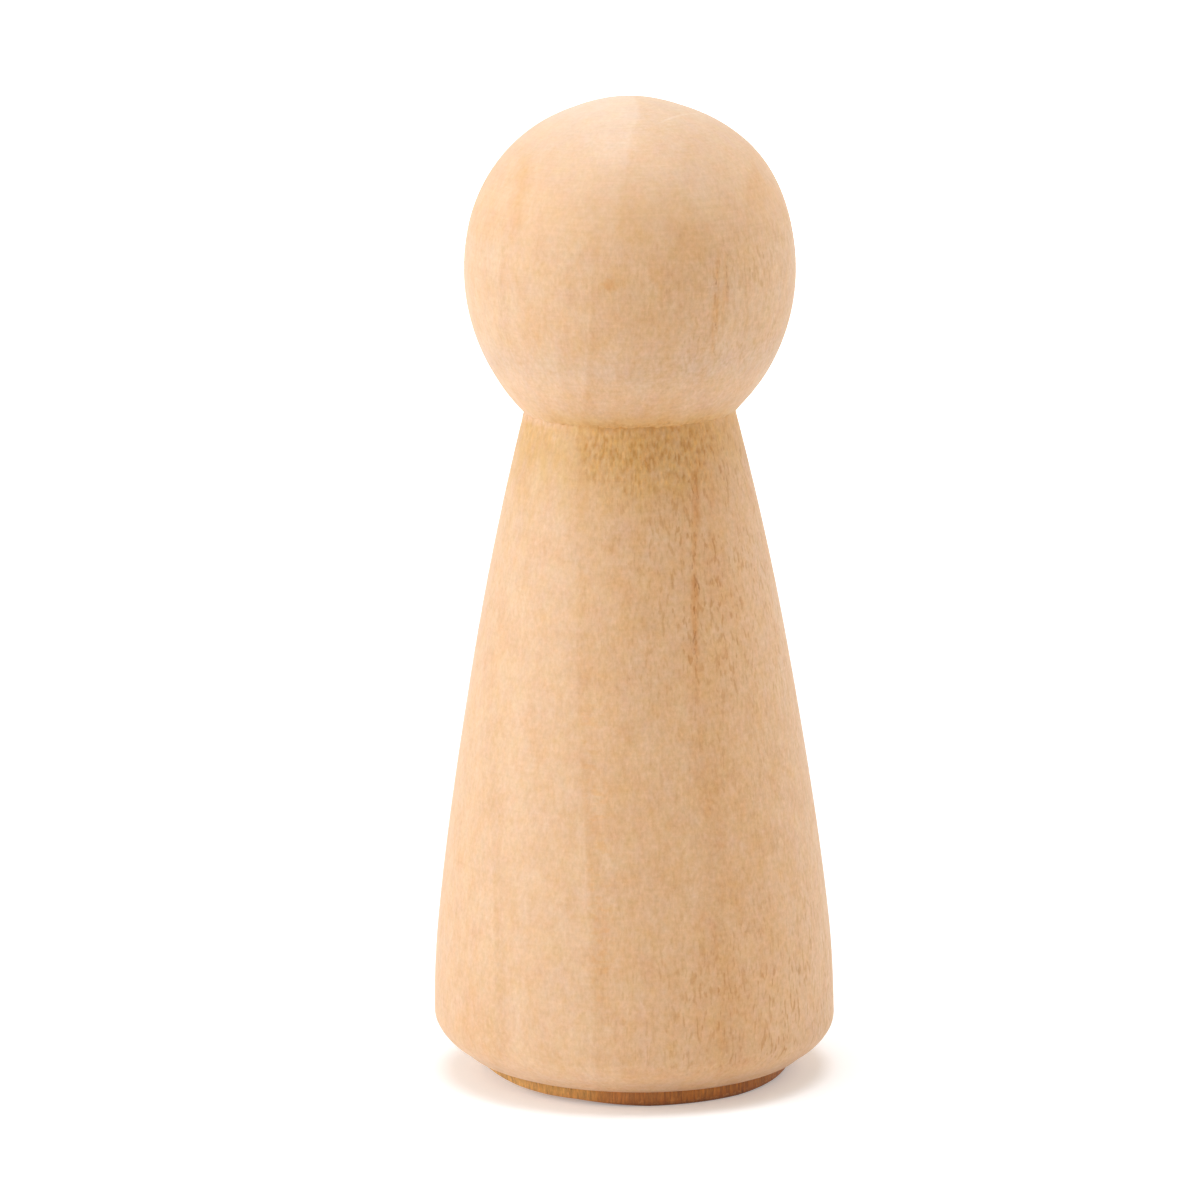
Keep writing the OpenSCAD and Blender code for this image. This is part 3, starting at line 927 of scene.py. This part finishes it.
def scorched_wood(figure_group):
    """The same wood browned by the parting tool, which rubbed it until it scorched and took a dull polish.
    Its brown also holds painted shade, lighter at the left than at the right as painted light.
    """
    material, tree = new_material("scorched end of the blank with painted light and shade")
    figure = add(tree, "Group", node_tree=figure_group)
    mm = place_in_mm(tree)
    x, y, z = add(tree, "SeparateXYZ", {0: mm}).outputs
    # The brown is painted lighter at the left and darker at the right: painted light from the key lamp's side
    across = add(tree, "MapRange", {0: x, 1: -FOOT_R, 2: FOOT_R})
    brown = add(tree, "ValToRGB", {0: across})
    set_stops(brown, FOOT_BROWNS)
    fibre = unevenness(tree, mm, *FOOT_FIBRES)
    lines = add(tree, "MapRange", {0: fibre, **FOOT_LINES})
    wood = add(tree, "VectorMath", {0: brown, "Scale": lines}, operation="SCALE")
    wood = stained_or_painted_light(tree, wood, 1.0, figure.outputs["Tint"])

    level = add(tree, "CombineXYZ", {0: x, 1: y})
    from_axis = add(tree, "VectorMath", {0: level}, operation="LENGTH").outputs["Value"]
    rim = add(tree, "MapRange", {0: from_axis, **FOOT_RIM})
    low_half = add(tree, "MapRange", {0: z, **LOW_HALF})
    low_half = add(tree, "Math", {0: low_half, 1: rim}, operation="MULTIPLY")
    crumbs = add(tree, "MapRange", {0: unevenness(tree, mm, *CRUMBS), **CRUMB_LIMITS})
    crumbs = add(tree, "Math", {0: crumbs, 1: low_half}, operation="MULTIPLY")
    # Painted contact shadow: the foot is painted dark brown where it meets the floor
    edge = add(tree, "MapRange", {0: z, **FLOOR_CONTACT_SHADE})
    edge = add(tree, "Math", {0: edge, 1: rim}, operation="MULTIPLY")
    wood = stained_or_painted_light(tree, wood, low_half, LOW_HALF_STAIN)
    for share, colour in ((crumbs, CRUMB_WOOD), (edge, CONTACT_SHADE_BROWN)):
        wood = add(tree, "Mix", {0: share, 6: wood, 7: linear(colour)}, data_type="RGBA").outputs[2]

    bump = add(tree, "Bump", {"Strength": FOOT_RELIEF_SHOWS, "Distance": FOOT_RELIEF * MM, "Height": fibre})
    shader = add(tree, "BsdfPrincipled", {"Base Color": wood, "Roughness": FOOT_ROUGHNESS, "Normal": bump,
                                          "IOR": WOOD_IOR})
    add(tree, "OutputMaterial", {0: shader})
    return material


figure_group = wood_figure()
wood_skin = bare_wood(figure_group)
head.data.materials.append(wood_skin)
body.data.materials.append(wood_skin)
foot.data.materials.append(scorched_wood(figure_group))


# Studio: pale floor, even surround, broad lamp overhead, key lamp at the left and rim lamp at the right

# Half the side of the floor in metres, and the paper's linear colour
FLOOR_HALF = 3.0
PAPER_COLOUR = (0.85, 0.85, 0.85, 1)
# The paper glows white to the camera: how much, from the doll out to half a metre, and how much at least
PAPER_GLOW = {1: 0.08, 2: 0.5, 3: 0.05, 4: 0.9}
PAPER_GLOW_LEAST = 0.26
# The surround's light is a little warm. Its strength is what falls on the doll, then what the camera sees.
SURROUND_COLOUR = (1.08, 1.0, 0.85, 1)
SURROUND_STRENGTH = {3: 0.41, 4: 1.0}
# Lamps, a little cool: name, azimuth (0 at the camera, 90 at the picture's right) and elevation in degrees,
# distance and width in metres, power in watts, colour
LAMPS = (("key lamp", -78, 20, 0.7, 0.4, 2.66, (0.945, 0.98, 1.06)),
         ("rim lamp", 110, 22, 0.7, 0.7, 1.3, (0.97, 1.0, 1.06)),
         ("overhead lamp", 0, 89, 0.7, 0.5, 3.72, (0.95, 1.0, 1.1)))
# The camera: its place and what it looks at in metres, its lean in degrees, lens and sensor in millimetres
CAMERA_AWAY = 0.650
CAMERA_UP = 0.176
CAMERA_AIM = (-0.0028, 0, 0.0434)
CAMERA_LEAN = 0.49
CAMERA_LENS = 221
CAMERA_SENSOR = 36


def sees_white(tree):
    """1 for what the camera and reflections see, 0 for the light that falls on the doll."""
    path = add(tree, "LightPath")
    seen = add(tree, "Math", {0: path.outputs["Is Camera Ray"], 1: path.outputs["Is Glossy Ray"]},
               operation="MAXIMUM")
    return add(tree, "Math", {0: seen, 1: path.outputs["Is Transmission Ray"]}, operation="MAXIMUM")


def studio_floor():
    """White paper, matt, lifted to white away from the doll so that only its shadow shows."""
    corners = [(-1, -1, 0), (1, -1, 0), (1, 1, 0), (-1, 1, 0)]
    mesh = bpy.data.meshes.new("floor")
    mesh.from_pydata([tuple(c * FLOOR_HALF for c in corner) for corner in corners], [], [(0, 1, 2, 3)])
    floor = put_in_scene("floor", mesh)
    material, tree = new_material("white paper sweep")
    paper = add(tree, "BsdfDiffuse", {"Color": PAPER_COLOUR})
    place = add(tree, "TexCoord").outputs["Object"]
    away = add(tree, "VectorMath", {0: place}, operation="LENGTH").outputs["Value"]
    far = add(tree, "MapRange", {0: away, **PAPER_GLOW})
    lift = add(tree, "Math", {0: sees_white(tree), 1: far}, operation="MULTIPLY")
    lit = add(tree, "Math", {0: lift, 1: PAPER_GLOW_LEAST}, operation="MAXIMUM")
    glow = add(tree, "Emission", {"Color": WHITE, "Strength": lit})
    both = add(tree, "AddShader", {0: paper, 1: glow})
    add(tree, "OutputMaterial", {0: both})
    mesh.materials.append(material)


def studio_world():
    world = bpy.data.worlds.new("white surround")
    bpy.context.scene.world = world
    world.use_nodes = True
    tree = world.node_tree
    tree.nodes.clear()
    seen = sees_white(tree)
    colour = add(tree, "Mix", {0: seen, 6: SURROUND_COLOUR, 7: WHITE}, data_type="RGBA").outputs[2]
    strength = add(tree, "MapRange", {0: seen, **SURROUND_STRENGTH})
    surround = add(tree, "Background", {"Color": colour, "Strength": strength})
    add(tree, "OutputWorld", {0: surround})


def lamp(name, azimuth, elevation, distance, width, power, colour):
    """A square soft lamp aimed at the doll's middle."""
    data = bpy.data.lights.new(name, "AREA")
    data.size = width
    data.energy = power
    data.color = colour
    made = put_in_scene(name, data)
    a, e = math.radians(azimuth), math.radians(elevation)
    middle = Vector((0, 0, DOLL_H * MM / 2))
    away = Vector((math.sin(a) * math.cos(e), -math.cos(a) * math.cos(e), math.sin(e)))
    made.location = middle + away * distance
    made.rotation_euler = (-away).to_track_quat("-Z", "Y").to_euler()


def camera():
    """A long lens from a little above, as in the photograph."""
    data = bpy.data.cameras.new("camera")
    data.sensor_width = CAMERA_SENSOR
    data.lens = CAMERA_LENS
    made = put_in_scene("camera", data)
    place = Vector((0, -CAMERA_AWAY, CAMERA_UP))
    look = Vector(CAMERA_AIM) - place
    turn = look.to_track_quat("-Z", "Y").to_matrix().to_4x4()
    lean = Matrix.Rotation(math.radians(-CAMERA_LEAN), 4, "Z")
    made.matrix_world = Matrix.Translation(place) @ turn @ lean
    bpy.context.scene.camera = made


studio_floor()
studio_world()
for values in LAMPS:
    lamp(*values)
camera()
bpy.context.scene.view_settings.view_transform = "Standard"
